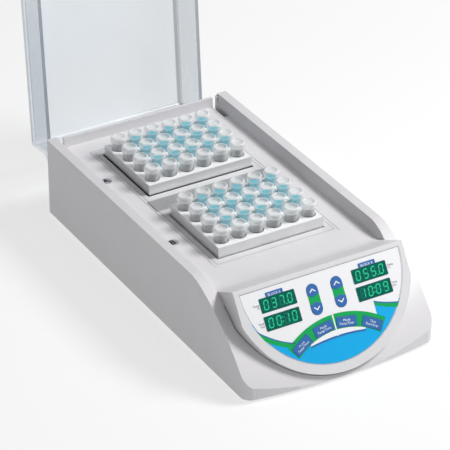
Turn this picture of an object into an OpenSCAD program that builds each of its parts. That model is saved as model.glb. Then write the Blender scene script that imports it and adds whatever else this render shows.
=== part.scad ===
// Two-block dry heating bath with a recessed deck, a sloping half-round console and a hinged clear lid.
// Origin: on the table, under the middle of the whole open unit. +Z up, -Y is the operator's side, +X is the
// operator's right. Y values below count from the housing's own datum; placed() takes open_mid_y off them.

/* [Housing] */
// Width across the side walls
body_w = 171; // [170:0.5:174]
// Y of the rear face
rear_y = 167; // [166:0.5:168]
// Y of the foremost point of the nose
front_y = -164; // [-165:0.5:-163]
// Height of the housing's lower edge above the table
base_z = 2.5; // [2:0.25:2.75]
// Height of the side rails
rail_z = 72; // [71.5:0.25:72.5]
// Height of the deck between the rails
deck_z = 61.5; // [61:0.25:62]
// Wall thickness of the moulding
wall = 3; // [2.5:0.25:3]
// Thickness of the deck
deck_t = 3.5; // [3.5:0.25:4]
// Radius of the nose's long curve, seen from the side
nose_r = 160; // [158:1:162]
// Radius of the blend from the rails into the nose
nose_blend_r = 45; // [40:1:48]
// Radius of the nose's slight bulge, seen from above
bulge_r = 470; // [400:10:600]
// Corner radius of the nose, seen from above
nose_corner_r = 9; // [7:0.5:10]

/* [Console] */
// Y of the console's top edge
console_y = -120; // [-121:0.5:-119]
// Height of the console's top edge
console_z = 77; // [76.5:0.25:77.5]
// Slope of the console's face from the horizontal
console_slope = 57; // [56:0.5:58]
// Radius of the half-round face
console_r = 79; // [78:0.5:79.5]
// Half the width of the face's straight top edge
console_half_w = 75.5; // [74:0.5:76]
// Distance from the top edge down to the half-round's centre
console_drop = 4; // [3.5:0.25:4]
// Thickness of the bezel
bezel_t = 4; // [3.5:0.25:4]
// Slope of the ramp that climbs from the deck to the console
ramp_slope = 27; // [26:0.5:28]
// Radius of the printed overlay
overlay_r = 71.5; // [70:0.5:72]

/* [Blocks] */
// Width of a heating block
block_w = 95.5; // [95:0.25:95.5]
// Depth of a heating block
block_d = 76.5; // [76:0.25:76.5]
// Height of a heating block
block_h = 50; // [49:0.5:50]
// How far the blocks stand above the deck
block_proud = 9; // [8:0.5:9.5]
// Distance between the middles of the two blocks
block_pitch = 111; // [110.5:0.25:112]
// Y of the point midway between the two blocks
block_mid_y = 42.5; // [42:0.25:43]
// Wells along a block's width
well_cols = 6; // [4:1:6]
// Wells along a block's depth
well_rows = 4; // [3:1:4]
// Distance between wells along the width
well_dx = 15.9; // [15.5:0.1:15.9]
// Distance between wells along the depth
well_dy = 19; // [18.5:0.1:19]
// Well radius
well_r = 6.1; // [6:0.05:6.2]
// Radius of the threaded hole for the lifting handle
lifter_r = 2.5; // [2:0.25:3]
// Depth of the threaded hole for the lifting handle
lifter_depth = 12; // [8:1:14]

/* [Lid] */
// Half the lid's outside width
lid_half_w = 74.6; // [74:0.1:74.7]
// Lid length from its rear wall to its front wall
lid_len = 236; // [230:1:238]
// Height of the lid's walls
lid_h = 38.5; // [36:0.5:39]
// Lid wall thickness
lid_t = 3; // [2.5:0.1:3]
// Angle between closed and open
lid_open_angle = 94; // [92:0.5:96]
// Y of the hinge axis
hinge_y = 161; // [160.5:0.25:161]
// Height of the hinge axis
hinge_z = 37.5; // [37.25:0.25:38.5]
// Radius of the hinge pins
hinge_pin_r = 2; // [1.8:0.1:2]

/* [Keys] */
// Travel of every key
key_travel = 0.4; // [0.3:0.05:0.4]
// Width of an arrow key pair
arrow_w = 9.9; // [9:0.1:10]
// Length of a soft key
soft_w = 17.5; // [16:0.25:18]
// Height of a soft key
soft_h = 8.2; // [7.5:0.1:8.5]

/* [Hidden] */
$fn = 96;
eps = 0.01;

// Y, from the housing's datum, of the middle of the open unit
open_mid_y = 38.1;

// Housing, derived
body_l = rear_y - front_y;
nose_y = -26;
nose_z = base_z - sqrt(pow(nose_r, 2) - pow(front_y - nose_y, 2));
blend_z = rail_z - nose_blend_r;
blend_y = nose_y - sqrt(pow(nose_r - nose_blend_r, 2) - pow(blend_z - nose_z, 2));
blend_end_z = nose_z + (blend_z - nose_z) * nose_r / (nose_r - nose_blend_r);
bulge_y = front_y + bulge_r;
corner_x = body_w / 2 - nose_corner_r;
corner_y = bulge_y - sqrt(pow(bulge_r - nose_corner_r, 2) - pow(corner_x, 2));
rail_in_top = 77.3;
rail_in_low = 74.7;
rim_t = 3;
joint_w = 0.8;
joint_depth = 1.6;
joint_top_v = 9;
rim_z = rail_z - 1.7;
deck_low = deck_z - deck_t;
foot_h = 3;
plate_t = 1.5;
plate_z = foot_h;
plate_top = plate_z + plate_t;
boss_x = body_w / 2 - wall - 3.5;
boss_ys = [120, 0, -105];
boss_r = 4;
pilot_r = 1.55;
shank_r = 1.5;
label_x = -66.5;
label_r = 4.4;
label_t = 0.4;

// Well area, derived
block_top = deck_z + block_proud;
block_low = block_top - block_h;
block_ys = [block_mid_y + block_pitch / 2, block_mid_y - block_pitch / 2];
trim_w = 113;
trim_l = 209;
trim_t = 2;
trim_gap = 0.25;
trim_ledge = 3.5;
cup_gap = 0.6;
cup_wall = 2.4;
cup_floor = 3.5;
cup_w = block_w + 2 * (cup_gap + cup_wall);
cup_d = block_d + 2 * (cup_gap + cup_wall);
cup_low = block_low - cup_floor;
cup_top = deck_z - trim_t - 0.5;
mat_t = 2;
foam_t = 5.5;
foam_top = 50;
sensor_x = 20;
sensor_r = 2;

// Tubes, derived: heights count from the top of the block
tube_cap_top = 12;
tube_tip = -27.5;
well_low = -27.8;
tube_r = 5.3;
tube_bore = 4.4;
liquid_level = 5;

// Rear panel, derived
panel_half_w = 65.5;
window_half_w = 59;
window_low = 8;
window_high = 50;
panel_y = rear_y - wall - plate_t;
panel_face = rear_y - wall;
inlet_x = -30;
inlet_z = 26.5;
inlet_w = 26.6;
inlet_h = 30.6;
socket_z = 20.5;
drawer_z = 36.5;
drawer_w = 21.6;
drawer_h = 6.6;
drawer_l = 14;
switch_x = 25;
switch_z = 26.5;
switch_tilt = 7;
rocker_pivot_y = panel_face - 3;
trunnion_r = 1.2;

// Hinge, derived
ear_x = lid_half_w - lid_t / 2;
slot_w = lid_t + 1;
slot_front = 144;
slot_low = 31;
ear_boss_r = 5.5;
ear_clear = 0.05;
skirt_z = deck_z + 2;
rear_wall_y = 160;
rear_wall_low = 72.5;

// Console, derived
key_clear = 0.2;
film_t = 0.5;
film_low = -0.7;
pocket_low = -2.2;
board_z = -12;
board_t = 1.6;
plunger_h = 3.9;
key_low = pocket_low + key_travel + 0.1;
stem_low = board_z + board_t + plunger_h + key_travel + 0.1;
post_places = [[-64, -12], [64, -12], [-42, -56], [42, -56]];
soft_arc_v = 111.7;
soft_arc_r = 65.4;
soft_angles = [-28.6, -9, 9, 28.6];
arrow_x = 10.8;
arrow_top_v = 11.6;
arrow_len = 24.2;
arrow_key_len = 8.6;
display_x = 41;
display_vs = [16.7, 30.7];
display_w = 29.6;
display_h = 9.8;

// Power board, derived
board_mid_y = -97;

// ---------- helpers ----------

// Moves a sub-part from the housing's datum to the origin
module placed() {
  translate([0, -open_mid_y, 0]) children();
}

// Extrudes a (y, z) outline along X, centred
module along_x(length) {
  rotate([90, 0, 90]) linear_extrude(height = length, center = true) children();
}

// Extrudes an (x, z) outline along Y from y0 to y1
module along_y(y0, y1) {
  translate([0, y1, 0]) rotate([90, 0, 0]) linear_extrude(height = y1 - y0) children();
}

// Rectangle with round corners, centred
module round_rect(w, h, r) {
  square([w - 2 * r, h], center = true);
  square([w, h - 2 * r], center = true);
  for (sx = [-1, 1], sy = [-1, 1])
    translate([sx * (w / 2 - r), sy * (h / 2 - r)]) circle(r);
}

// Box given by its low and high corners
module box(low, high) {
  translate(low) cube(high - low);
}

// Box centred in X and Y, from z0 up to z1
module slab(w, d, z0, z1) {
  translate([-w / 2, -d / 2, z0]) cube([w, d, z1 - z0]);
}

// Puts children on the console's face: x across, y up the face, z out of it, origin at the top edge
module on_face() {
  translate([0, console_y, console_z]) rotate([console_slope, 0, 0]) children();
}

// Half-round outline of the console, grown by g
module console_outline(g) {
  intersection() {
    translate([0, -console_drop]) circle(console_r + g);
    translate([-console_half_w - g, -2 * console_r]) square([2 * (console_half_w + g), 2 * console_r + g]);
  }
}

// Outline of the overlay film, grown by g
module overlay_outline(g) {
  intersection() {
    translate([0, -console_drop]) circle(overlay_r + g);
    translate([-console_r, -console_drop - 2 * console_r]) square([2 * console_r, 2 * console_r + g]);
  }
}

// Pan-head screw: head's seat at z = 0, shank down
module screw(head_r, head_h, length) {
  cylinder(h = head_h, r = head_r);
  translate([0, 0, -length]) cylinder(h = length + eps, r = shank_r);
}

// ---------- housing ----------

// Outside of the housing seen from the side, shrunk by g at the top and the nose
module side_outline(g) {
  intersection() {
    union() {
      translate([blend_y, base_z]) square([rear_y - blend_y, rail_z - g - base_z]);
      translate([blend_y, blend_z]) circle(nose_blend_r - g);
      intersection() {
        translate([nose_y, nose_z]) circle(nose_r - g, $fn = 200);
        translate([front_y - 1, base_z]) square([blend_y - front_y + 2, blend_end_z - base_z]);
      }
    }
    translate([front_y - 1, base_z]) square([body_l + 1, rail_z]);
  }
}

module side_cavity() {
  intersection() {
    union() {
      translate([nose_y - 60, base_z - 1]) square([rear_y - wall - nose_y + 60, deck_low - base_z + 1]);
      translate([nose_y, nose_z]) circle(nose_r - wall, $fn = 200);
    }
    translate([front_y, base_z - 1]) square([body_l - wall, deck_low - base_z + 1]);
  }
}

module plan_outline(inset) {
  r = nose_corner_r - inset;
  x = body_w / 2 - inset;
  difference() {
    intersection() {
      translate([-x, front_y - 1]) square([2 * x, body_l + 1 - inset]);
      translate([0, bulge_y]) circle(bulge_r - inset, $fn = 200);
    }
    for (s = [-1, 1])
      difference() {
        translate([s > 0 ? corner_x : -x - 1, front_y - 2])
          square([x + 1 - corner_x, corner_y - front_y + 2]);
        translate([s * corner_x, corner_y]) circle(r);
      }
  }
}

module deck_recess() {
  along_y(console_y + 10, rear_y - rim_t)
    polygon([[-rail_in_low, deck_z], [rail_in_low, deck_z], [rail_in_top, rail_z], [rail_in_top, rail_z + 10],
      [-rail_in_top, rail_z + 10], [-rail_in_top, rail_z]]);
  box([-rail_in_top + 0.5, rear_y - rim_t - 1, rim_z], [rail_in_top - 0.5, rear_y + 1, rail_z + 1]);
}

module ramp() {
  top_y = console_y + bezel_t * sin(console_slope);
  top_z = console_z - bezel_t * cos(console_slope);
  foot_y = top_y + (top_z - deck_z) / tan(ramp_slope);
  blend = 28;
  tangent = blend * tan(ramp_slope / 2);
  along_x(2 * (console_half_w - 0.25))
    polygon([[top_y, top_z], [foot_y, deck_z], [foot_y, deck_low], [top_y, deck_low]]);
  along_x(2 * rail_in_low)
    difference() {
      polygon([[foot_y - tangent * cos(ramp_slope), deck_z + tangent * sin(ramp_slope)],
        [foot_y + tangent, deck_z], [foot_y + tangent, deck_z - 1], [foot_y - 4, deck_z - 1]]);
      translate([foot_y + tangent, deck_z + blend]) circle(blend);
    }
}

// Narrow joint in the nose's surface, round the half-round
module console_joint() {
  difference() {
    on_face() translate([0, 0, -36]) linear_extrude(height = 40)
      difference() {
        console_outline(joint_w);
        console_outline(0);
        translate([-100, -joint_top_v]) square([200, 100]);
      }
    along_x(body_w + 4) side_outline(joint_depth);
  }
}

module hinge_slots() {
  for (s = [-1, 1])
    translate([s * ear_x, 0, 0])
      box([-slot_w / 2, slot_front, slot_low], [slot_w / 2, rear_y + 1, rail_z + 1]);
}

module screw_bosses() {
  for (s = [-1, 1], y = boss_ys)
    translate([s * boss_x, y, plate_top]) cylinder(h = 16, r = boss_r);
}

module screw_pilots() {
  for (s = [-1, 1], y = boss_ys)
    translate([s * boss_x, y, plate_top - 1]) cylinder(h = 13, r = pilot_r);
  for (s = [-1, 1], z = [window_low + 4, window_high - 4])
    translate([s * (window_half_w + 3.3), rear_y + 1, z]) rotate([90, 0, 0])
      cylinder(h = wall + 2, r = pilot_r);
}

module housing() color([0.93, 0.93, 0.93]) placed() {
  difference() {
    union() {
      difference() {
        intersection() {
          along_x(body_w + 2) side_outline(0);
          linear_extrude(height = 100) plan_outline(0);
        }
        deck_recess();
      }
      intersection() {
        on_face() translate([0, 0, -36]) linear_extrude(height = 36 - bezel_t) console_outline(0);
        box([-90, front_y, base_z], [90, rear_y, 100]);
      }
      ramp();
    }
    on_face() translate([0, 0, -bezel_t]) linear_extrude(height = 30) console_outline(0.1);
    difference() {
      intersection() {
        along_x(body_w - 2 * wall) side_cavity();
        translate([0, 0, -1]) linear_extrude(height = 100) plan_outline(wall);
      }
      screw_bosses();
    }
    on_face() translate([0, 0, -34 - bezel_t]) linear_extrude(height = 35)
      intersection() {
        console_outline(-wall);
        translate([-console_r, -69]) square([2 * console_r, 69]);
      }
    translate([0, block_mid_y, 0]) {
      slab(trim_w, trim_l, deck_z - trim_t, deck_z + 1);
      slab(trim_w - 2 * trim_ledge, trim_l - 2 * trim_ledge, deck_low - 1, deck_z);
    }
    for (y = block_ys)
      translate([label_x, y, deck_z - label_t]) cylinder(h = 2, r = label_r + 0.1);
    console_joint();
    hinge_slots();
    box([-window_half_w, rear_y - wall - 1, window_low], [window_half_w, rear_y + 1, window_high]);
    screw_pilots();
  }
}

// ---------- console ----------

module half_pill() {
  translate([0, -arrow_w / 2]) circle(arrow_w / 2);
  translate([-arrow_w / 2, -arrow_key_len]) square([arrow_w, arrow_key_len - arrow_w / 2]);
}

// Outline of arrow key on side s (-1 left, 1 right), up or down
module arrow_outline(s, up) {
  translate([s * arrow_x, -arrow_top_v - (up ? 0 : arrow_len)]) mirror([0, up ? 0 : 1]) half_pill();
}

module soft_outline(i) {
  translate([0, -soft_arc_v]) rotate(-soft_angles[i]) translate([0, soft_arc_r])
    round_rect(soft_w, soft_h, 1);
}

function arrow_centre(s, up) =
  [s * arrow_x, -arrow_top_v - (up ? arrow_key_len / 2 : arrow_len - arrow_key_len / 2)];
function soft_centre(i) =
  [soft_arc_r * sin(soft_angles[i]), -soft_arc_v + soft_arc_r * cos(soft_angles[i])];
key_centres = concat(
  [for (s = [-1, 1], up = [true, false]) arrow_centre(s, up)],
  [for (i = [0:3]) soft_centre(i)]);

// Slightly larger copies of every key outline, for the openings they move in
module key_openings() {
  for (s = [-1, 1], up = [true, false])
    translate([s * arrow_x, -arrow_top_v - (up ? 0 : arrow_len)]) mirror([0, up ? 0 : 1])
      translate([0, -arrow_w / 2]) {
        circle(arrow_w / 2 + key_clear);
        translate([-arrow_w / 2 - key_clear, arrow_w / 2 - arrow_key_len - key_clear])
          square([arrow_w + 2 * key_clear, arrow_key_len - arrow_w / 2 + key_clear]);
      }
  for (i = [0:3])
    translate([0, -soft_arc_v]) rotate(-soft_angles[i]) translate([0, soft_arc_r])
      round_rect(soft_w + 2 * key_clear, soft_h + 2 * key_clear, 1 + key_clear);
}

module console_bezel() color([0.95, 0.95, 0.96]) placed() on_face() {
  difference() {
    translate([0, 0, -bezel_t]) linear_extrude(height = bezel_t) console_outline(0);
    translate([0, 0, film_low]) linear_extrude(height = 5) overlay_outline(0.2);
    translate([0, 0, pocket_low]) linear_extrude(height = 5) key_openings();
    for (c = key_centres)
      translate([c[0], c[1], -bezel_t - 1]) cylinder(h = bezel_t + 1, r = 2);
    for (s = [-1, 1], v = display_vs)
      translate([s * display_x, -v, 0]) slab(display_w + 0.6, display_h + 0.6, -bezel_t - 1, 0);
  }
  for (p = post_places)
    translate([p[0], p[1], board_z + board_t]) {
      cylinder(h = -bezel_t - board_z - board_t + eps, r = 3);
      translate([0, 0, -board_t - 0.8]) cylinder(h = board_t + 1, r = 1.4);
    }
}

module membrane_overlay() color([0.97, 0.98, 1]) placed() on_face()
  translate([0, 0, film_low]) linear_extrude(height = film_t)
    difference() {
      overlay_outline(0);
      key_openings();
    }

// A key: its plate, standing a little proud of the film, and the stem that works its switch
module key_piece(c) {
  translate([0, 0, key_low]) linear_extrude(height = 0.2 - key_low) children();
  translate([c[0], c[1], stem_low]) cylinder(h = key_low - stem_low + 0.2, r = 1.6);
}

module arrow_key(s, up) color([0.28, 0.42, 0.70]) placed() on_face()
  key_piece(arrow_centre(s, up)) arrow_outline(s, up);

module soft_key(i) color([0.28, 0.42, 0.70]) placed() on_face()
  key_piece(soft_centre(i)) soft_outline(i);

module control_board() color([0.05, 0.35, 0.18]) placed() on_face()
  difference() {
    translate([0, 0, board_z]) linear_extrude(height = board_t)
      intersection() {
        translate([0, -console_drop]) circle(console_r - 8);
        translate([-68, -62]) square([136, 54]);
      }
    for (p = post_places)
      translate([p[0], p[1], board_z - 1]) cylinder(h = 4, r = 1.5);
  }

module display_module(s, v) color([0.0, 0.30, 0.22]) placed() on_face()
  translate([s * display_x, -v, 0]) slab(display_w, display_h, board_z + board_t, film_low - 0.1);

module tact_switches() color([0.15, 0.15, 0.16]) placed() on_face()
  for (c = key_centres)
    translate([c[0], c[1], board_z + board_t]) {
      slab(6, 6, 0, 3);
      cylinder(h = plunger_h, r = 1.7);
    }

// ---------- base ----------

module base_plate() color([0.70, 0.71, 0.73]) placed()
  difference() {
    intersection() {
      translate([0, 0, plate_z]) linear_extrude(height = plate_t) plan_outline(wall + 0.4);
      box([-90, front_y + 8.5, 0], [90, rear_y, 10]);
    }
    for (s = [-1, 1], y = boss_ys)
      translate([s * boss_x, y, 0]) cylinder(h = 10, r = shank_r + 0.2);
    for (i = [-5:5])
      translate([i * 9, -95, 0]) slab(3, 34, 0, 10);
  }

module rubber_feet() color([0.12, 0.12, 0.12]) placed()
  for (x = [-66, 66], y = [-128, 146])
    translate([x, y, 0]) cylinder(h = foot_h, r1 = 7, r2 = 8.5);

module base_screws() color([0.75, 0.75, 0.77]) placed()
  for (s = [-1, 1], y = boss_ys)
    translate([s * boss_x, y, plate_z]) rotate([180, 0, 0]) screw(3, 1.3, 12);

module rear_panel() color([0.80, 0.81, 0.83]) placed()
  difference() {
    box([-panel_half_w, panel_y, window_low - 3], [panel_half_w, panel_face, window_high + 3]);
    box([inlet_x - inlet_w / 2 - 0.1, panel_y - 1, inlet_z - inlet_h / 2 - 0.1],
      [inlet_x + inlet_w / 2 + 0.1, rear_y, inlet_z + inlet_h / 2 + 0.1]);
    box([switch_x - 9.7, panel_y - 1, switch_z - 6.6], [switch_x + 9.7, rear_y, switch_z + 6.6]);
    for (s = [-1, 1], z = [window_low + 4, window_high - 4])
      translate([s * (window_half_w + 3.3), rear_y, z]) rotate([90, 0, 0]) cylinder(h = 10, r = pilot_r);
    for (i = [-2:2])
      box([i * 2.4 + 47, panel_y - 1, 16], [i * 2.4 + 48.2, rear_y, 38]);
  }

module rear_panel_screws() color([0.75, 0.75, 0.77]) placed()
  for (s = [-1, 1], z = [window_low + 4, window_high - 4])
    translate([s * (window_half_w + 3.3), rear_y, z]) rotate([-90, 0, 0]) screw(2.7, 1.2, 4.4);

// Round labels let into the deck, one beside each block
module block_labels() color([0.62, 0.63, 0.66]) placed()
  for (y = block_ys)
    translate([label_x, y, deck_z - label_t]) cylinder(h = label_t + 0.05, r = label_r);

// ---------- well area ----------

module well_trim() color([0.86, 0.86, 0.87]) placed()
  difference() {
    translate([0, block_mid_y, 0])
      slab(trim_w - 2 * trim_gap, trim_l - 2 * trim_gap, deck_z - trim_t, deck_z);
    for (y = block_ys)
      translate([0, y, 0]) slab(block_w + 2, block_d + 2, 0, 100);
  }

module block_divider() color([0.72, 0.72, 0.74]) placed()
  translate([0, block_mid_y, 0]) slab(trim_w - 4, 17, deck_z, deck_z + 0.8);

module heater_cup(y) color([0.72, 0.73, 0.75]) placed() translate([0, y, 0])
  difference() {
    slab(cup_w, cup_d, cup_low, cup_top);
    slab(block_w + 2 * cup_gap, block_d + 2 * cup_gap, block_low, cup_top + 1);
    translate([sensor_x, 0, cup_low - 1]) cylinder(h = 3.6, r = sensor_r + 0.05);
  }

module heater_mat(y) color([0.75, 0.30, 0.15]) placed() translate([0, y, 0])
  difference() {
    slab(cup_w - 4, cup_d - 4, cup_low - mat_t, cup_low);
    translate([sensor_x, 0, 0]) cylinder(h = 50, r = sensor_r + 1);
  }

module insulation(y) color([0.88, 0.86, 0.78]) placed() translate([0, y, 0])
  difference() {
    slab(cup_w + 2 * foam_t, cup_d + 2 * foam_t, plate_top, foam_top);
    slab(cup_w, cup_d, cup_low - mat_t, foam_top + 1);
    translate([sensor_x, 0, 0]) cylinder(h = 50, r = sensor_r + 1);
  }

module sensor(y) color([0.80, 0.80, 0.82]) placed() translate([sensor_x, y, plate_top + 2])
  cylinder(h = cup_low + 2.4 - plate_top - 2, r = sensor_r);

// ---------- electronics ----------

module power_board() color([0.05, 0.35, 0.18]) placed() translate([0, board_mid_y, 0])
  difference() {
    slab(118, 56, 11, 12.6);
    for (x = [-54, 54], y = [-23, 23])
      translate([x, y, 0]) cylinder(h = 20, r = 1.6);
  }

module board_standoffs() color([0.80, 0.70, 0.35]) placed()
  for (x = [-54, 54], y = [-23, 23])
    translate([x, board_mid_y + y, plate_top]) {
      cylinder(h = 11 - plate_top, r = 3);
      cylinder(h = 14 - plate_top, r = 1.5);
    }

module transformer() color([0.30, 0.30, 0.32]) placed() translate([24, board_mid_y + 4, 12.6]) {
  slab(44, 38, 0, 9);
  slab(30, 38, 9, 26);
  slab(44, 38, 26, 34);
}

// ---------- rear fittings ----------

module inlet_body() color([0.10, 0.10, 0.11]) placed()
  difference() {
    union() {
      box([inlet_x - inlet_w / 2, panel_face - 16, inlet_z - inlet_h / 2],
        [inlet_x + inlet_w / 2, panel_face + eps, inlet_z + inlet_h / 2]);
      translate([inlet_x, 0, inlet_z]) along_y(panel_face, panel_face + 2.5) round_rect(31, 35, 2);
    }
    translate([inlet_x, 0, socket_z]) along_y(panel_face - 14, panel_face + 3)
      polygon([[-12.2, -8], [12.2, -8], [12.2, 3.5], [7.5, 8], [-7.5, 8], [-12.2, 3.5]]);
    translate([inlet_x, 0, drawer_z]) along_y(panel_face - 14.5, panel_face + 3)
      square([drawer_w + 0.6, drawer_h + 0.6], center = true);
  }

module inlet_pins() color([0.80, 0.66, 0.32]) placed()
  for (p = [[-7, -2], [7, -2], [0, 2]])
    translate([inlet_x + p[0], 0, socket_z + p[1]])
      box([-1, panel_face - 14, -2], [1, panel_face - 0.5, 2]);

module fuse_drawer() color([0.12, 0.12, 0.13]) placed() translate([inlet_x, 0, drawer_z])
  difference() {
    union() {
      box([-drawer_w / 2, panel_face + 2.7 - drawer_l - 2.5, -drawer_h / 2],
        [drawer_w / 2, panel_face + 2.5, drawer_h / 2]);
      box([-4, panel_face + 2.4, -2.6], [4, panel_face + 4, 2.6]);
    }
    box([-10.4, panel_face - 10.8, -2.8], [10.4, panel_face - 4.8, drawer_h / 2 + 1]);
  }

module fuse() color([0.85, 0.87, 0.88]) placed() translate([inlet_x, panel_face - 7.8, drawer_z + 0.3])
  rotate([0, 90, 0]) {
    cylinder(h = 11, r = 2.3, center = true);
    for (s = [-1, 1])
      translate([0, 0, s * 7.7]) cylinder(h = 4.6, r = 2.6, center = true);
  }

module switch_body() color([0.10, 0.10, 0.11]) placed() translate([switch_x, 0, switch_z])
  difference() {
    union() {
      box([-9.5, panel_face - 14, -6.4], [9.5, panel_face + eps, 6.4]);
      along_y(panel_face, panel_face + 2) round_rect(22, 16, 1.5);
    }
    box([-8.4, panel_face - 12, -5.2], [8.4, panel_face + 3, 5.2]);
    translate([0, rocker_pivot_y, 0]) cylinder(h = 12, r = trunnion_r + 0.06, center = true);
  }

// Rocker: two flats that meet over the pivot, rolled to its off side
module switch_rocker() color([0.16, 0.16, 0.17]) placed()
  translate([switch_x, rocker_pivot_y, switch_z]) rotate([0, 0, switch_tilt]) {
    linear_extrude(height = 9.8, center = true)
      polygon([[-7.8, 4.4], [0, 3.4], [7.8, 4.4], [6.6, -2.5], [-6.6, -2.5]]);
    cylinder(h = 11.6, r = trunnion_r, center = true);
  }

// ---------- hinge and lid ----------

module hinge_brackets() color([0.62, 0.63, 0.65]) placed()
  for (s = [-1, 1])
    translate([s * ear_x, 0, 0])
      difference() {
        box([-5.5, hinge_y - 9, 26], [5.5, rear_y - wall, hinge_z + 6]);
        box([-2.5, hinge_y - 10, 29], [2.5, rear_y, hinge_z + 10]);
        translate([0, hinge_y, hinge_z]) rotate([0, 90, 0]) cylinder(h = 20, r = hinge_pin_r, center = true);
        box([-10, rear_y - wall, 0], [10, rear_y + 5, 80]);
      }

module hinge_pins() color([0.78, 0.78, 0.80]) placed()
  for (s = [-1, 1])
    translate([s * ear_x, hinge_y, hinge_z]) rotate([0, 90, 0])
      cylinder(h = 11, r = hinge_pin_r, center = true);

// Outside or inside of the closed lid: a box with round edges, shrunk by g
module lid_block(g) {
  r = 8 - g;
  mid_y = rear_wall_y - lid_len / 2;
  top = skirt_z + lid_h;
  intersection() {
    translate([0, mid_y, skirt_z - 1 - g]) linear_extrude(height = lid_h + 1)
      round_rect(2 * (lid_half_w - g), lid_len - 2 * g, r);
    translate([0, 0, top - 50 - g]) along_x(2 * lid_half_w)
      translate([mid_y, 0]) round_rect(lid_len - 2 * g, 100, r);
    translate([0, 0, top - 50 - g]) along_y(rear_wall_y - lid_len, rear_wall_y)
      round_rect(2 * (lid_half_w - g), 100, r);
  }
}

module lid_ear() {
  along_x(lid_t)
    union() {
      polygon([[146, skirt_z + 9], [146, 47], [150, 42], [hinge_y - 2, hinge_z - ear_boss_r + 0.35],
        [hinge_y + ear_boss_r, hinge_z], [hinge_y + ear_boss_r, hinge_z + 6], [rear_wall_y, skirt_z - 1],
        [rear_wall_y, skirt_z + 3], [152, skirt_z + 9]]);
      translate([hinge_y, hinge_z]) circle(ear_boss_r);
    }
}

module closed_lid() {
  difference() {
    union() {
      difference() {
        lid_block(0);
        lid_block(lid_t);
        box([-100, rear_wall_y - lid_len - 1, 0], [100, rear_wall_y + 1, skirt_z]);
        box([-lid_half_w + lid_t, rear_wall_y - 10, 0], [lid_half_w - lid_t, rear_wall_y + 1, rear_wall_low]);
      }
      for (s = [-1, 1])
        translate([s * ear_x, 0, 0]) lid_ear();
    }
    translate([0, hinge_y, hinge_z]) rotate([0, 90, 0])
      cylinder(h = 200, r = hinge_pin_r + ear_clear, center = true);
  }
}

module lid() color([0.80, 0.86, 0.90, 0.4]) placed()
  translate([0, hinge_y, hinge_z]) rotate([-lid_open_angle, 0, 0])
    translate([0, -hinge_y, -hinge_z]) closed_lid();

// ---------- blocks and tubes ----------

module at_wells(y, first_col, first_row) {
  for (c = [first_col:well_cols - 1], r = [first_row:well_rows - 1])
    translate([(c - (well_cols - 1) / 2) * well_dx, y + (r - (well_rows - 1) / 2) * well_dy, block_top])
      children();
}

module block(y) color([0.85, 0.86, 0.87]) placed()
  difference() {
    translate([0, y, 0]) slab(block_w, block_d, block_low, block_top);
    at_wells(y, 0, 0) {
      translate([0, 0, -13]) cylinder(h = 14, r = well_r);
      translate([0, 0, well_low]) cylinder(h = -13 - well_low + eps, r1 = 2.8, r2 = well_r);
    }
    translate([0, y, block_top - lifter_depth]) cylinder(h = lifter_depth + 1, r = lifter_r);
  }

// Snap-cap tube: tapered foot, plain neck, collar and cap
module tube_skin() {
  rotate_extrude()
    polygon([[0, tube_tip], [2, tube_tip], [tube_r, -13], [tube_r, 6], [6.2, 6], [6.2, 7.2], [6.6, 7.2],
      [6.6, 11], [5.8, tube_cap_top], [0, tube_cap_top]]);
}

module tube_inside() {
  rotate_extrude()
    polygon([[0, tube_tip + 1], [1.3, tube_tip + 1], [tube_bore, -13], [tube_bore, 9], [0, 9]]);
}

module tubes(y) color([0.90, 0.92, 0.94]) placed()
  at_wells(y, 0, 0) difference() {
    tube_skin();
    tube_inside();
  }

// Liquid in the tubes behind the front row and right of the left column
module samples(y) color([0.25, 0.75, 0.90]) placed()
  at_wells(y, 1, 1)
    rotate_extrude()
      polygon([[0, tube_tip + 1.2], [1.1, tube_tip + 1.2], [tube_bore - 0.1, -13],
        [tube_bore - 0.1, liquid_level], [0, liquid_level]]);

housing();
console_bezel();
membrane_overlay();
base_plate();
rear_panel();
rubber_feet();
base_screws();
rear_panel_screws();
block_labels();
well_trim();
block_divider();
heater_cup(block_ys[0]);  // heater_cup_rear
heater_cup(block_ys[1]);  // heater_cup_front
heater_mat(block_ys[0]);  // heater_mat_rear
heater_mat(block_ys[1]);  // heater_mat_front
insulation(block_ys[0]);  // insulation_rear
insulation(block_ys[1]);  // insulation_front
sensor(block_ys[0]);  // sensor_rear
sensor(block_ys[1]);  // sensor_front
control_board();
display_module(-1, display_vs[0]);  // display_left_upper
display_module(-1, display_vs[1]);  // display_left_lower
display_module(1, display_vs[0]);  // display_right_upper
display_module(1, display_vs[1]);  // display_right_lower
tact_switches();
power_board();
board_standoffs();
transformer();
inlet_body();
inlet_pins();
switch_body();
hinge_brackets();
hinge_pins();
lid();
fuse_drawer();
fuse();
switch_rocker();
arrow_key(-1, true);  // key_left_up
arrow_key(-1, false);  // key_left_down
arrow_key(1, true);  // key_right_up
arrow_key(1, false);  // key_right_down
soft_key(0);  // key_soft_1
soft_key(1);  // key_soft_2
soft_key(2);  // key_soft_3
soft_key(3);  // key_soft_4
block(block_ys[0]);  // block_rear
block(block_ys[1]);  // block_front
tubes(block_ys[0]);  // tubes_rear
tubes(block_ys[1]);  // tubes_front
samples(block_ys[0]);  // samples_rear
samples(block_ys[1]);  // samples_front
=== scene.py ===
"""Two-block dry heating bath: the CAD frame dressed with plastic, metal, print, tubes and a clear lid."""
import math

import bmesh
import bpy
from mathutils import Matrix, Vector


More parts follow.
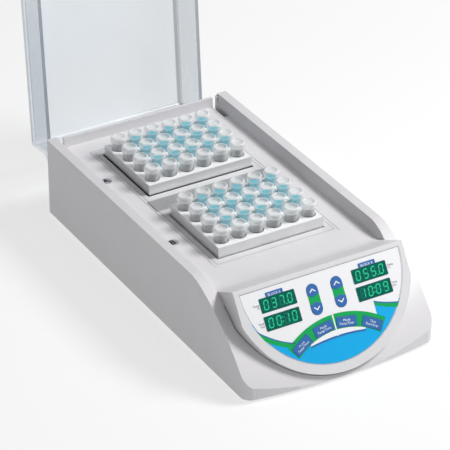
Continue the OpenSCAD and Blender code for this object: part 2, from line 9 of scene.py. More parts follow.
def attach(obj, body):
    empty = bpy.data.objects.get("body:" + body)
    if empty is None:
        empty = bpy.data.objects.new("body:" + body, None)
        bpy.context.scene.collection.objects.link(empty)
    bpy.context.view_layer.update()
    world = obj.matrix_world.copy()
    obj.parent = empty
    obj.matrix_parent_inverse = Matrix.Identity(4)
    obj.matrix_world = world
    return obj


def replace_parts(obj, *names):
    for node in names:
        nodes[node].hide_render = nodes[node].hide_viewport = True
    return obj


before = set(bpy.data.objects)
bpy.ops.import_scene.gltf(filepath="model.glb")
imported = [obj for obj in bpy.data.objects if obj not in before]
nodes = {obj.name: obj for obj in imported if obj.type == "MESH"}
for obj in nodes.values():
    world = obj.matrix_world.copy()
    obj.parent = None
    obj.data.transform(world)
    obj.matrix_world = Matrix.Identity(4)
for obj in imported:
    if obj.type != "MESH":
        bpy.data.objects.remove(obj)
scene = bpy.context.scene
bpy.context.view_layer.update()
MM = 0.001

# Places that the CAD source gives, in millimetres; adding DATUM_Y turns its y into the frame's
DATUM_Y = -38.1
CONSOLE_Y, CONSOLE_Z, SLOPE = -120.0, 77.0, math.radians(57.0)
HINGE_Y, HINGE_Z, LID_OPENING = 161.0, 37.5, math.radians(94.0)
BLOCK_MIDS = {"rear": 98.0, "front": -13.0}
WELL_COLUMNS, WELL_ROWS, WELL_PITCH_X, WELL_PITCH_Y = 6, 4, 15.9, 19.0
TRIM_MID = 42.5
DISPLAY_X = 41.0
DISPLAY_ROWS = {"upper": 16.7, "lower": 30.7}
ARROW_X = 10.8
SOFT_ARC_V, SOFT_ARC_R = 111.7, 65.4
SOFT_ANGLES = (-28.6, -9.0, 9.0, 28.6)
SOFT_W, SOFT_H, SOFT_CORNER, KEY_CLEAR = 17.5, 8.2, 1.0, 0.2
SIDES = {"left": -1, "right": 1}

# ---------------------------------------------------------------- camera

TARGET = Vector((-16.94, -46.38, 60.0)) * MM
AZIMUTH, ELEVATION, DISTANCE = math.radians(-30.17), math.radians(30.98), 2067.8 * MM
SENSOR, LENS = 36.0, 209.0


def make_camera():
    back = Vector((math.sin(AZIMUTH) * math.cos(ELEVATION), -math.cos(AZIMUTH) * math.cos(ELEVATION),
                   math.sin(ELEVATION)))
    data = bpy.data.cameras.new("camera")
    data.sensor_width = SENSOR
    data.lens = LENS
    data.clip_start = 0.05
    data.clip_end = 20.0
    data.dof.use_dof = False
    cam = bpy.data.objects.new("camera", data)
    scene.collection.objects.link(cam)
    cam.location = TARGET + back * DISTANCE
    cam.rotation_euler = (-back).to_track_quat("-Z", "Y").to_euler()
    scene.camera = cam


make_camera()

# ---------------------------------------------------------------- materials


class Surface:
    """A principled material whose colour, roughness and relief come from procedural textures."""

    def __init__(self, name, color, rough=0.5, metal=0.0, coat=0.0, alpha=1.0, ior=1.45):
        self.mat = bpy.data.materials.new(name)
        self.mat.use_nodes = True
        self.tree = self.mat.node_tree
        self.bsdf = self.tree.nodes["Principled BSDF"]
        self.color = (*color, 1.0)
        b = self.bsdf.inputs
        b["Base Color"].default_value = self.color
        b["Roughness"].default_value = rough
        b["Metallic"].default_value = metal
        b["IOR"].default_value = ior
        b["Alpha"].default_value = alpha
        b["Coat Weight"].default_value = coat
        b["Coat Roughness"].default_value = 0.08
        self.mat.diffuse_color = (*color, alpha)
        self.coords = self.node("ShaderNodeTexCoord").outputs["Object"]
        self.height = None

    def node(self, kind, **values):
        n = self.tree.nodes.new(kind)
        for key, value in values.items():
            setattr(n, key, value)
        return n

    def link(self, a, b):
        self.tree.links.new(a, b)

    def stretched(self, scale):
        m = self.node("ShaderNodeMapping")
        m.inputs["Scale"].default_value = scale
        self.link(self.coords, m.inputs["Vector"])
        return m.outputs["Vector"]

    def noise(self, scale, detail=2.0, rough=0.5, stretch=None):
        n = self.node("ShaderNodeTexNoise")
        n.inputs["Scale"].default_value = scale
        n.inputs["Detail"].default_value = detail
        n.inputs["Roughness"].default_value = rough
        self.link(self.stretched(stretch) if stretch else self.coords, n.inputs["Vector"])
        return n.outputs["Fac"]

    def texture(self, kind, output, inputs, **settings):
        n = self.node(kind, **settings)
        for name, value in inputs.items():
            n.inputs[name].default_value = value
        self.link(self.coords, n.inputs["Vector"])
        return n.outputs[output]

    def ramp(self, fac, low, high, a, b):
        """Takes fac from the range low..high to a..b."""
        n = self.node("ShaderNodeMapRange")
        n.inputs["From Min"].default_value = low
        n.inputs["From Max"].default_value = high
        n.inputs["To Min"].default_value = a
        n.inputs["To Max"].default_value = b
        self.link(fac, n.inputs["Value"])
        return n.outputs["Result"]

    def vary_color(self, fac, other, low=0.35, high=0.65, amount=1.0):
        """Mixes the base colour towards other where fac is high."""
        m = self.node("ShaderNodeMix", data_type="RGBA")
        previous = self.bsdf.inputs["Base Color"]
        if previous.is_linked:
            self.link(previous.links[0].from_socket, m.inputs["A"])
        else:
            m.inputs["A"].default_value = self.color
        m.inputs["B"].default_value = (*other, 1.0)
        self.link(self.ramp(fac, low, high, 0.0, amount), m.inputs["Factor"])
        self.link(m.outputs["Result"], previous)
        return self

    def vary_rough(self, fac, a, b, low=0.3, high=0.7):
        self.link(self.ramp(fac, low, high, a, b), self.bsdf.inputs["Roughness"])
        return self

    def thicken(self, amount):
        """Adds amount to the opacity."""
        alpha = self.bsdf.inputs["Alpha"]
        n = self.node("ShaderNodeMath", operation="ADD", use_clamp=True)
        self.link(alpha.links[0].from_socket, n.inputs[0])
        self.link(amount, n.inputs[1])
        self.link(n.outputs["Value"], alpha)
        return self

    def bump(self, fac, distance, strength=1.0):
        n = self.node("ShaderNodeBump")
        n.inputs["Distance"].default_value = distance
        n.inputs["Strength"].default_value = strength
        self.link(fac, n.inputs["Height"])
        if self.height is not None:
            self.link(self.height, n.inputs["Normal"])
        self.height = n.outputs["Normal"]
        self.link(self.height, self.bsdf.inputs["Normal"])
        return self

    def glow(self, color, strength):
        self.bsdf.inputs["Emission Color"].default_value = (*color, 1.0)
        self.bsdf.inputs["Emission Strength"].default_value = strength
        return self


def moulded(name, color, shade, rough, grain=2600.0, depth=0.000018):
    """Moulded or painted: cloudy shade, speckle and a fine grain."""
    s = Surface(name, color, rough)
    s.vary_color(s.noise(38.0, 3.0, 0.55), shade, 0.40, 0.72, 0.6)
    s.vary_color(s.noise(900.0, 2.0), shade, 0.5, 0.9, 0.35)
    fine = s.noise(grain, 3.0, 0.6)
    s.vary_rough(s.noise(220.0, 3.0), rough - 0.05, rough + 0.06)
    s.bump(fine, depth, 0.55)
    return s


def metal(name, color, rough, stretch, grain):
    """Bare metal with streaks drawn out by stretch."""
    s = Surface(name, color, rough, metal=1.0)
    streak = s.noise(grain, 4.0, 0.6, stretch)
    s.vary_rough(streak, rough - 0.06, rough + 0.10)
    s.vary_color(s.noise(60.0, 3.0), tuple(c * 0.88 for c in color), 0.4, 0.75, 0.5)
    s.bump(streak, 0.000006, 0.4)
    return s


def printed(name, color, rough=0.42):
    """Screen-printed ink under a matt polyester film."""
    s = Surface(name, color, rough)
    s.vary_color(s.noise(1400.0, 2.0), tuple(min(1.0, c * 1.12 + 0.01) for c in color), 0.45, 0.8, 0.4)
    s.vary_rough(s.noise(300.0, 2.0), rough - 0.04, rough + 0.05)
    s.bump(s.noise(5200.0, 2.0), 0.000006, 0.4)
    return s


def clear_plastic(name, color, facing, grazing, rough):
    """Thin clear plastic: faint face on, denser where the wall is seen edge on."""
    s = Surface(name, color, rough, coat=0.25, ior=1.49)
    s.vary_color(s.noise(55.0, 2.0), tuple(c * 0.94 for c in color), 0.42, 0.75, 0.6)
    weight = s.node("ShaderNodeLayerWeight")
    weight.inputs["Blend"].default_value = 0.42
    s.link(s.ramp(weight.outputs["Facing"], 0.05, 0.95, facing, grazing), s.bsdf.inputs["Alpha"])
    s.vary_rough(s.noise(260.0, 2.0), max(0.02, rough - 0.03), rough + 0.05)
    s.bump(s.noise(120.0, 2.0), 0.00005, 0.25)
    return s


def display_window():
    s = Surface("display_window", (0.0, 0.115, 0.085), 0.18, coat=0.6)
    s.vary_color(s.noise(160.0, 2.0), (0.0, 0.17, 0.115), 0.4, 0.8, 0.8)
    return s.bump(s.noise(3000.0, 1.0), 0.000003, 0.3)


def segment(name, color, strength):
    s = Surface(name, color, 0.35)
    s.vary_color(s.noise(2000.0, 1.0), tuple(c * 0.8 for c in color), 0.4, 0.7, 0.5)
    return s.glow(color, strength)


def block_top():
    """Blasted aluminium with faint milling across."""
    s = Surface("block_aluminium", (0.97, 0.975, 0.98), 0.42, metal=0.14)
    mill = s.noise(700.0, 3.0, 0.6, (1.0, 9.0, 9.0))
    s.vary_rough(mill, 0.36, 0.5)
    s.vary_color(s.noise(45.0, 3.0), (0.89, 0.895, 0.905), 0.42, 0.8, 0.5)
    s.bump(mill, 0.000007, 0.4)
    return s.bump(s.noise(4200.0, 2.0), 0.000004, 0.35)


# Sawn sides, darker and more metallic than the top all round: partly the sawn finish, partly painted shade
def sawn_side_painted_shade():
    s = Surface("sawn_side_painted_shade", (0.86, 0.865, 0.87), 0.34, metal=0.55)
    sawn = s.noise(600.0, 3.0, 0.6, (1.0, 1.0, 8.0))
    s.vary_rough(sawn, 0.28, 0.44)
    s.vary_color(s.noise(40.0, 3.0), (0.74, 0.745, 0.75), 0.42, 0.75, 0.6)
    return s.bump(sawn, 0.000009, 0.5)


def divider_metal():
    s = Surface("divider_metal", (0.43, 0.43, 0.44), 0.42, metal=0.2)
    brushed = s.noise(420.0, 4.0, 0.6, (1.0, 14.0, 14.0))
    s.vary_rough(brushed, 0.30, 0.44)
    s.vary_color(brushed, (0.34, 0.34, 0.35), 0.40, 0.65, 0.7)
    return s.bump(brushed, 0.000008, 0.5)


def panel_paint():
    s = Surface("panel_paint", (0.55, 0.56, 0.58), 0.5)
    s.vary_color(s.noise(70.0, 3.0), (0.50, 0.51, 0.53), 0.4, 0.7, 0.7)
    return s.bump(s.noise(1700.0, 2.0), 0.00003, 0.6)


def foot_rubber():
    s = Surface("foot_rubber", (0.022, 0.022, 0.023), 0.75)
    s.vary_color(s.noise(500.0, 3.0), (0.045, 0.045, 0.047), 0.45, 0.7, 0.8)
    return s.bump(s.noise(2500.0, 3.0), 0.00004, 0.7)


def mat_silicone():
    s = Surface("mat_silicone", (0.45, 0.12, 0.045), 0.62)
    weave = s.texture("ShaderNodeTexWave", "Fac", {"Scale": 260.0, "Distortion": 1.2},
                      wave_type="BANDS", bands_direction="X")
    s.vary_color(weave, (0.32, 0.08, 0.03), 0.3, 0.8, 0.6)
    return s.bump(weave, 0.0001, 0.7)


def foam():
    s = Surface("foam", (0.70, 0.67, 0.56), 0.92)
    cells = s.texture("ShaderNodeTexVoronoi", "Distance", {"Scale": 900.0})
    s.vary_color(cells, (0.55, 0.52, 0.42), 0.2, 0.7, 0.7)
    return s.bump(cells, 0.0003, 0.8)


def circuit_board():
    s = Surface("board", (0.012, 0.13, 0.055), 0.35, coat=0.3)
    tracks = s.texture("ShaderNodeTexBrick", "Fac", {"Scale": 90.0, "Mortar Size": 0.03})
    s.vary_color(tracks, (0.05, 0.26, 0.11), 0.2, 0.8, 0.8)
    return s.bump(tracks, 0.00005, 0.5)


def laminations():
    s = Surface("laminations", (0.12, 0.12, 0.13), 0.5, metal=0.6)
    leaf = s.texture("ShaderNodeTexWave", "Fac", {"Scale": 420.0}, wave_type="BANDS", bands_direction="Y")
    s.vary_color(leaf, (0.05, 0.05, 0.055), 0.3, 0.7, 0.8)
    return s.bump(leaf, 0.0001, 0.7)


def fuse_glass():
    s = Surface("fuse_glass", (0.80, 0.84, 0.86), 0.08, alpha=0.55, coat=0.5)
    return s.vary_color(s.noise(400.0, 2.0), (0.70, 0.72, 0.74), 0.4, 0.8, 0.6)


def label_grey():
    s = Surface("label_grey", (0.36, 0.37, 0.40), 0.40)
    s.vary_color(s.noise(1200.0, 2.0), (0.43, 0.44, 0.47), 0.4, 0.8, 0.5)
    return s.bump(s.noise(4000.0, 2.0), 0.000006, 0.4)


def lid_clear():
    """The lid's walls: blue-grey with soft whitish clouds."""
    s = clear_plastic("lid_clear", (0.36, 0.52, 0.66), 0.12, 0.36, 0.07)
    haze = s.noise(6.0, 1.0, 0.4, (1.0, 1.0, 1.8))
    s.vary_color(haze, (0.84, 0.91, 0.97), 0.32, 0.72, 0.95)
    return s.thicken(s.ramp(haze, 0.25, 0.80, 0.0, 0.12))


def sample_liquid():
    s = clear_plastic("sample_liquid", (0.03, 0.62, 0.76), 0.92, 0.98, 0.12)
    # The glow is painted light: it stands in for light scattered through the liquid
    return s.glow((0.0, 0.55, 0.68), 0.22)


FINISHES = {
    "housing": moulded("housing_plastic", (0.735, 0.722, 0.74), (0.70, 0.685, 0.71), 0.46),
    "bezel": moulded("bezel_plastic", (0.76, 0.76, 0.775), (0.72, 0.72, 0.74), 0.36, 3200.0, 0.00001),
    "film": printed("overlay_film", (0.90, 0.905, 0.93), 0.40),
    "blue": printed("print_blue", (0.0, 0.42, 0.84)),
    "green": printed("print_green", (0.0, 0.40, 0.095)),
    "violet": printed("key_film", (0.036, 0.155, 0.44), 0.38),
    "white_ink": printed("print_white", (0.90, 0.92, 0.95)),
    "dark_ink": printed("print_dark", (0.05, 0.055, 0.13)),
    "black_ink": printed("print_black", (0.012, 0.012, 0.016)),
    "grey_ink": printed("print_grey", (0.30, 0.30, 0.36)),
    "window": display_window(),
    "segment_on": segment("segment_on", (0.02, 0.52, 0.26), 0.25),
    "segment_off": segment("segment_off", (0.0, 0.16, 0.11), 0.01),
    "block": block_top(),
    "sawn_side_painted_shade": sawn_side_painted_shade(),
    "trim": moulded("trim_metal", (0.70, 0.70, 0.71), (0.63, 0.63, 0.645), 0.38, 3000.0, 0.00001),
    "divider": divider_metal(),
    # Painted shadow for the seams round the trim
    "seam": moulded("seam_shadow", (0.26, 0.26, 0.27), (0.20, 0.20, 0.21), 0.6),
    "cup": moulded("cup_metal", (0.60, 0.61, 0.62), (0.50, 0.51, 0.52), 0.5, 1500.0, 0.00002),
    "steel": metal("screw_steel", (0.62, 0.62, 0.64), 0.32, (6.0, 1.0, 1.0), 2500.0),
    "sheet": metal("sheet_steel", (0.58, 0.59, 0.60), 0.45, (1.0, 7.0, 7.0), 500.0),
    "brass": metal("pin_brass", (0.74, 0.56, 0.25), 0.32, (1.0, 6.0, 1.0), 2200.0),
    "panel": panel_paint(),
    "rubber": foot_rubber(),
    "black": moulded("black_plastic", (0.024, 0.024, 0.026), (0.04, 0.04, 0.042), 0.44, 2600.0, 0.00002),
    "mat": mat_silicone(),
    "foam": foam(),
    "board": circuit_board(),
    "laminations": laminations(),
    "fuse": fuse_glass(),
    "label": label_grey(),
    "lid": lid_clear(),
    # Lit and shaded copies of the lid's clear plastic: painted shade on the rim faces and the bends, a
    # painted highlight on the bend at the hinge side
    "lid_painted_glint": clear_plastic("lid_painted_glint", (0.88, 0.92, 0.95), 0.55, 0.85, 0.10),
    "lid_edge_painted_shade": clear_plastic("lid_edge_painted_shade", (0.17, 0.22, 0.27), 0.66, 0.88, 0.10),
    "lid_bend_painted_shade": clear_plastic("lid_bend_painted_shade", (0.30, 0.36, 0.42), 0.40, 0.70, 0.08),
    "tube": clear_plastic("tube_wall", (0.86, 0.885, 0.90), 0.22, 0.56, 0.22),
    "cap": clear_plastic("tube_cap", (0.95, 0.955, 0.965), 0.36, 0.68, 0.42),
    "liquid": sample_liquid(),
}

# ---------------------------------------------------------------- mesh helpers


def material(key):
    """The Blender material of a named finish."""
    return FINISHES[key].mat


def dress(node, key):
    """Puts a finish on a CAD node's own material slots."""
    o = nodes[node]
    if not o.material_slots:
        o.data.materials.append(material(key))
    for s in o.material_slots:
        s.material = material(key)


def add(name, mesh, key, body, smooth=None):
    """An object with one finish that rides with a body and stands in a material slot."""
    o = bpy.data.objects.new(name, mesh)
    scene.collection.objects.link(o)
    mesh.materials.clear()
    mesh.materials.append(material(key))
    if smooth is not None:
        soften(mesh, smooth)
    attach(o, body)
    return o


def soften(mesh, angle):
    """Smooth shading with edges sharper than angle kept."""
    for p in mesh.polygons:
        p.use_smooth = True
    bm = bmesh.new()
    bm.from_mesh(mesh)
    for e in bm.edges:
        e.smooth = len(e.link_faces) == 2 and e.calc_face_angle(0.0) < angle
    bm.to_mesh(mesh)
    bm.free()


EDGE_ANGLE = math.radians(32.0)
FLAT_ANGLE = math.radians(0.6)
WELD = 1e-6


def refined(node, key, body, radius, segments=2):
    """A welded copy of a CAD node's shape with its sharp edges rounded, which stands for the node."""
    bm = bmesh.new()
    bm.from_mesh(nodes[node].data)
    bmesh.ops.remove_doubles(bm, verts=bm.verts, dist=WELD)
    bmesh.ops.dissolve_degenerate(bm, dist=WELD, edges=bm.edges)
    bmesh.ops.dissolve_limit(bm, angle_limit=FLAT_ANGLE, use_dissolve_boundaries=False,
                             verts=bm.verts, edges=bm.edges)
    mesh = bpy.data.meshes.new(node + "_visual")
    bm.to_mesh(mesh)
    bm.free()
    o = add(node + "_visual", mesh, key, body)
    for p in mesh.polygons:
        p.use_smooth = True
    b = o.modifiers.new("round_edges", "BEVEL")
    b.width = radius
    b.segments = segments
    b.limit_method = "ANGLE"
    b.angle_limit = EDGE_ANGLE
    b.use_clamp_overlap = True
    b.miter_outer = "MITER_ARC"
    b.harden_normals = False
    w = o.modifiers.new("flat_faces", "WEIGHTED_NORMAL")
    w.weight = 80
    w.keep_sharp = False
    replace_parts(o, node)
    return o


# ---------------------------------------------------------------- console face frame

FACE = Matrix(((1, 0, 0, 0),
               (0, math.cos(SLOPE), -math.sin(SLOPE), (CONSOLE_Y + DATUM_Y) * MM),
               (0, math.sin(SLOPE), math.cos(SLOPE), CONSOLE_Z * MM),
               (0, 0, 0, 1)))


def on_face(u, v, n):
    """Point on the console's face: u across, v down from the top edge, n out of it, in millimetres."""
    return FACE @ Vector((u * MM, -v * MM, n * MM))


def on_deck(x, y, z):
    """Point of the frame from x across, y counted towards the operator and z up, in millimetres."""
    return Vector((x * MM, -y * MM, z * MM))


def flat_mesh(name, outlines, n, place):
    """One mesh of flat closed outlines [(u, v), ...] at height n."""
    bm = bmesh.new()
    for outline in outlines:
        verts = [bm.verts.new(place(u, v, n)) for u, v in outline]
        bm.faces.new(verts)
    bm.normal_update()
    out = (place(0, 0, 1) - place(0, 0, 0)).normalized()
    flip = [f for f in bm.faces if f.normal.dot(out) < 0]
    if flip:
        bmesh.ops.reverse_faces(bm, faces=flip)
    bmesh.ops.triangulate(bm, faces=[f for f in bm.faces if len(f.verts) > 4])
    mesh = bpy.data.meshes.new(name)
    bm.to_mesh(mesh)
    bm.free()
    return mesh


def strip(top, low, start, stop, steps):
    """Quads between the curves top(t) and low(t), each giving (u, v)."""
    quads = []
    for i in range(steps):
        a = start + (stop - start) * i / steps
        b = start + (stop - start) * (i + 1) / steps
        quads.append([top(a), top(b), low(b), low(a)])
    return quads


def rounded(cx, cy, w, h, r, turn=0.0, steps=5):
    """Outline of a rectangle with round corners, turned by turn radians about its middle."""
    c, s = math.cos(turn), math.sin(turn)
    pts = []
    for k, (sx, sy) in enumerate(((1, 1), (-1, 1), (-1, -1), (1, -1))):
        for i in range(steps + 1):
            a = math.pi / 2 * (k + i / steps)
            x = sx * (w / 2 - r) + r * math.cos(a)
            y = sy * (h / 2 - r) + r * math.sin(a)
            pts.append((cx + x * c - y * s, cy + x * s + y * c))
    return pts


def ring(r, degrees):
    """Point on a circle about the soft keys' common centre."""
    a = math.radians(degrees)
    return r * math.sin(a), SOFT_ARC_V - r * math.cos(a)


def soft_centre(angle):
    """Middle of the soft key at that angle from the console's middle."""
    return ring(SOFT_ARC_R, angle)


def opening_planes(angle):
    """Planes, each as a point and an outward normal, round the film's opening for a soft key."""
    outline = rounded(*soft_centre(angle), SOFT_W + 2 * KEY_CLEAR, SOFT_H + 2 * KEY_CLEAR,
                      SOFT_CORNER + KEY_CLEAR, math.radians(angle), 3)
    planes = []
    for (u0, v0), (u1, v1) in zip(outline, outline[1:] + outline[:1]):
        outward = on_face(v1 - v0, u0 - u1, 0) - on_face(0, 0, 0)
        planes.append((on_face(u0, v0, 0), outward.normalized()))
    return planes


REACH = 14.0 * MM


def faces_near(bm, centre):
    """Faces with a corner close enough to a soft key to cross its opening."""
    return [f for f in bm.faces if min((v.co - centre).length for v in f.verts) < REACH]


def clear_openings(mesh):
    """Takes the print away where the film is open for the soft keys."""
    bm = bmesh.new()
    bm.from_mesh(mesh)
    for angle in SOFT_ANGLES:
        planes = opening_planes(angle)
        centre = on_face(*soft_centre(angle), 0)
        for point, normal in planes:
            faces = faces_near(bm, centre)
            if not faces:
                continue
            edges = {e for f in faces for e in f.edges}
            verts = {v for f in faces for v in f.verts}
            bmesh.ops.bisect_plane(bm, geom=faces + list(edges | verts), dist=1e-7,
                                   plane_co=point, plane_no=normal)
        inside = [f for f in faces_near(bm, centre)
                  if all((f.calc_center_median() - point).dot(normal) < 0 for point, normal in planes)]
        bmesh.ops.delete(bm, geom=inside, context="FACES")
    bmesh.ops.triangulate(bm, faces=[f for f in bm.faces if len(f.verts) > 4])
    bm.to_mesh(mesh)
    bm.free()


def ink(name, outlines, n, key, body="chassis", place=on_face):
    """Flat print of closed outlines at height n."""
    mesh = flat_mesh(name, outlines, n, place)
    if body == "chassis" and place is on_face:
        clear_openings(mesh)
    return add(name, mesh, key, body)


def words(name, text, size, key, body, place, u, v, n,
          turn=0.0, slant=0.0, align="CENTER", fat=0.0):
    """Generic function wording as flat filled letters, laid on a plane by place(u, v, n)."""
    curve = bpy.data.curves.new(name + "_curve", "FONT")
    curve.body = text
    curve.size = 1.0
    curve.offset = fat
    curve.align_x = align
    curve.align_y = "CENTER"
    curve.resolution_u = 3
    curve.space_line = 0.95
    temp = bpy.data.objects.new(name + "_curve", curve)
    scene.collection.objects.link(temp)
    bpy.context.view_layer.update()
    mesh = bpy.data.meshes.new_from_object(temp.evaluated_get(bpy.context.evaluated_depsgraph_get()))
    bpy.data.objects.remove(temp)
    bpy.data.curves.remove(curve)
    c, s = math.cos(turn), math.sin(turn)
    for vert in mesh.vertices:
        x, y = vert.co.x * size, vert.co.y * size
        x += slant * y
        vert.co = place(u + x * c + y * s, v + x * s - y * c, n)
    mesh.update()
    return add(name, mesh, key, body)


# ---------------------------------------------------------------- fixed pieces

# CAD node: finish, edge radius in millimetres, material slot, segments of the rounding
CHASSIS_PIECES = {
    "housing": ("housing", 1.0, "housing_plastic", 3),
    "console_bezel": ("bezel", 1.1, "bezel_plastic", 3),
    "base_plate": ("sheet", 0.3, "sheet_steel", 2),
    "rear_panel": ("panel", 0.3, "panel_steel", 2),
    "well_trim": ("trim", 0.4, "trim_metal", 2),
    "block_divider": ("divider", 0.4, "trim_metal", 2),
    "inlet_body": ("black", 0.5, "black_plastic", 2),
    "switch_body": ("black", 0.5, "black_plastic", 2),
    "hinge_brackets": ("steel", 0.4, "bracket_steel", 2),
    "rubber_feet": ("rubber", 0.6, "foot_rubber", 2),
}
for node, (key, radius, slot, segments) in CHASSIS_PIECES.items():
    refined(node, key, "chassis", radius * MM, segments)

# ---------------------------------------------------------------- lid

CLOSE = Matrix.Rotation(LID_OPENING, 3, "X")
HINGE = Vector((0.0, HINGE_Y + DATUM_Y, HINGE_Z)) * MM
RIM_ABOVE_HINGE = 26.0 * MM
# Bends across the lid that lie nearer the hinge than this take the painted highlight
REAR_BEND = -60.0 * MM


def lid_part(face):
    """Slot of a face, judged with the lid closed: 0 wall, 1 rim, 2 bend, 3 bend at the hinge side; 1 and 2
    take painted shade, 3 a painted highlight.
    """
    n = CLOSE @ face.normal
    place = CLOSE @ (face.center - HINGE)
    if n.z < -0.99 and abs(place.z - RIM_ABOVE_HINGE) < 0.5 * MM:
        return 1
    if sorted((abs(n.x), abs(n.y), abs(n.z)))[1] <= 0.5:
        return 0
    return 3 if abs(n.x) < 0.2 and place.y > REAR_BEND else 2


lid_mesh = refined("lid", "lid", "lid", 0.7 * MM, 3).data
# Slots 1 and 2 take painted shade, slot 3 the painted highlight
for key in ("lid_edge_painted_shade", "lid_bend_painted_shade", "lid_painted_glint"):
    lid_mesh.materials.append(material(key))
for face in lid_mesh.polygons:
    face.material_index = lid_part(face)

# ---------------------------------------------------------------- moving pieces and small parts

refined("fuse_drawer", "black", "fuse_drawer", 0.4 * MM)
refined("switch_rocker", "black", "switch_rocker", 0.5 * MM)


def heating_block(node):
    """A block with a blasted top and sawn sides; the sides' darker tone is partly painted shade."""
    mesh = refined(node, "block", node, 0.5 * MM).data
    mesh.materials.append(material("sawn_side_painted_shade"))
    spans = [[v.co[axis] for v in mesh.vertices] for axis in (0, 1)]
    sides = [(axis, end(spans[axis])) for axis in (0, 1) for end in (min, max)]
    # Every side face takes the darker finish, partly painted shade
    for face in mesh.polygons:
        if min(abs(face.center[axis] - edge) for axis, edge in sides) < 0.2 * MM:
            face.material_index = 1


heating_block("block_rear")
heating_block("block_front")

SMALL_PARTS = {
    "film": ("membrane_overlay",),
    "steel": ("base_screws", "rear_panel_screws", "sensor_rear", "sensor_front", "hinge_pins"),
    "label": ("block_labels",),
    "cup": ("heater_cup_rear", "heater_cup_front"),
    "mat": ("heater_mat_rear", "heater_mat_front"),
    "foam": ("insulation_rear", "insulation_front"),
    "board": ("control_board", "power_board"),
    "window": tuple("display_%s_%s" % (side, row) for side in SIDES for row in DISPLAY_ROWS),
    "black": ("tact_switches",),
    "brass": ("board_standoffs", "inlet_pins"),
    "laminations": ("transformer",),
    "fuse": ("fuse",),
    "liquid": ("samples_rear", "samples_front"),
}
for key, parts in SMALL_PARTS.items():
    for node in parts:
        dress(node, key)

ARROW_KEYS = ["key_%s_%s" % (side, way) for side in SIDES for way in ("up", "down")]
SOFT_KEYS = ["key_soft_%d" % (i + 1) for i in range(len(SOFT_ANGLES))]
for key_node in ARROW_KEYS + SOFT_KEYS:
    refined(key_node, "violet", key_node, 0.25 * MM)

# ---------------------------------------------------------------- overlay print

# Heights of the layers of print out of the console's face, and half the step between two
FIELD, BAND, LINE, TOP, HALF_STEP = -0.13, -0.09, -0.05, -0.01, 0.02
# The half-round print's middle and radius; the green ring's radii, and its ends in degrees
DISC_V, DISC_R = 4.0, 71.2
RING_OUT, RING_IN, RING_START, RING_STOP = 73.0, 60.7, -37.0, 36.8


def disc_low(u):
    """Point on the lower edge of the half-round print."""
    return u, DISC_V + math.sqrt(max(0.0, DISC_R * DISC_R - u * u))


def bezier(p0, p1, p2):
    def at(t):
        return tuple((1 - t) ** 2 * a + 2 * t * (1 - t) * b + t * t * c for a, b, c in zip(p0, p1, p2))
    return at


# Top edges of the two wings of the blue field
LEFT_WING = bezier((-67.4, 31.6), (-53.0, 45.2), (-36.4, 50.6))
RIGHT_WING = bezier((37.4, 38.4), (47.0, 42.6), (60.2, 45.0))
WING_STEPS = 24


def print_field():
    """Blue field: left wing, middle that starts under the ring, right wing with its short upright edge."""
    under = RING_OUT - 2.0
    inner_half, inner_top = 28.0, 56.0

    def wing(curve):
        return strip(curve, lambda t: disc_low(curve(t)[0]), 0.0, 1.0, WING_STEPS)

    def middle(u):
        if abs(u) > inner_half:
            return u, ring(under, math.degrees(math.asin(abs(u) / under)))[1]
        return u, inner_top

    field = wing(LEFT_WING) + strip(middle, disc_low, -36.4, 37.4, 60) + wing(RIGHT_WING)
    ink("print_blue_field", field, FIELD, "blue")


def print_wing_edges():
    """Green bands under the wings' top edges, and the thin violet line that tops them."""
    def edge(name, curve, start, stop, n, key):
        def low(t):
            u, v = curve(t)
            return u, v + start + (stop - start) * t

        ink(name, strip(curve, low, 0.0, 1.0, WING_STEPS), n, key)

    edge("print_left_band", LEFT_WING, 5.6, 4.2, BAND, "green")
    edge("print_right_band", RIGHT_WING, 3.4, 4.4, BAND, "green")
    edge("print_left_line", LEFT_WING, 1.1, 0.9, LINE, "violet")
    edge("print_right_line", RIGHT_WING, 1.2, 1.0, LINE, "violet")


def print_ring():
    """Green ring behind the soft keys."""
    band = strip(lambda a: ring(RING_OUT, a), lambda a: ring(RING_IN, a), RING_START, RING_STOP, 56)
    ink("print_ring", band, LINE, "green")


def print_lens():
    """White lens under the inner keys with a line below it, and the white bar between those keys."""
    half, line = 24.6, 1.6
    low = bezier((-half, 57.0), (0.0, 53.0), (half, 57.0))
    top = bezier((-half, 55.9), (0.0, 45.6), (half, 55.9))
    below = strip(top, lambda t: (low(t)[0], low(t)[1] + line), 0.0, 1.0, 30)
    ink("print_lens_line", below, LINE + HALF_STEP, "violet")
    ink("print_lens", strip(top, low, 0.0, 1.0, 30), TOP, "white_ink")
    bar = [(-0.55, 38.4), (0.55, 38.4), (0.55, 55.4), (-0.55, 55.4)]
    ink("print_divider", [bar], TOP + HALF_STEP, "white_ink")


def print_border():
    """Thin line inside the film's edge."""
    outer, line = 71.0, 0.3

    def arc(r):
        return lambda a: (r * math.sin(a), DISC_V + r * math.cos(a))

    border = strip(arc(outer), arc(outer - line), -math.pi / 2, math.pi / 2, 72)
    border.append([(-outer, DISC_V), (outer, DISC_V), (outer, DISC_V + line), (-outer, DISC_V + line)])
    ink("print_border", border, FIELD + HALF_STEP / 2, "grey_ink")


def print_bridges():
    """Green bridges between the arrow keys."""
    half, top, low = 4.95, 20.3, 27.1
    for side, s in SIDES.items():
        left, right = s * ARROW_X - half, s * ARROW_X + half
        ink("print_bridge_" + side, [[(left, top), (right, top), (right, low), (left, low)]], BAND, "green")


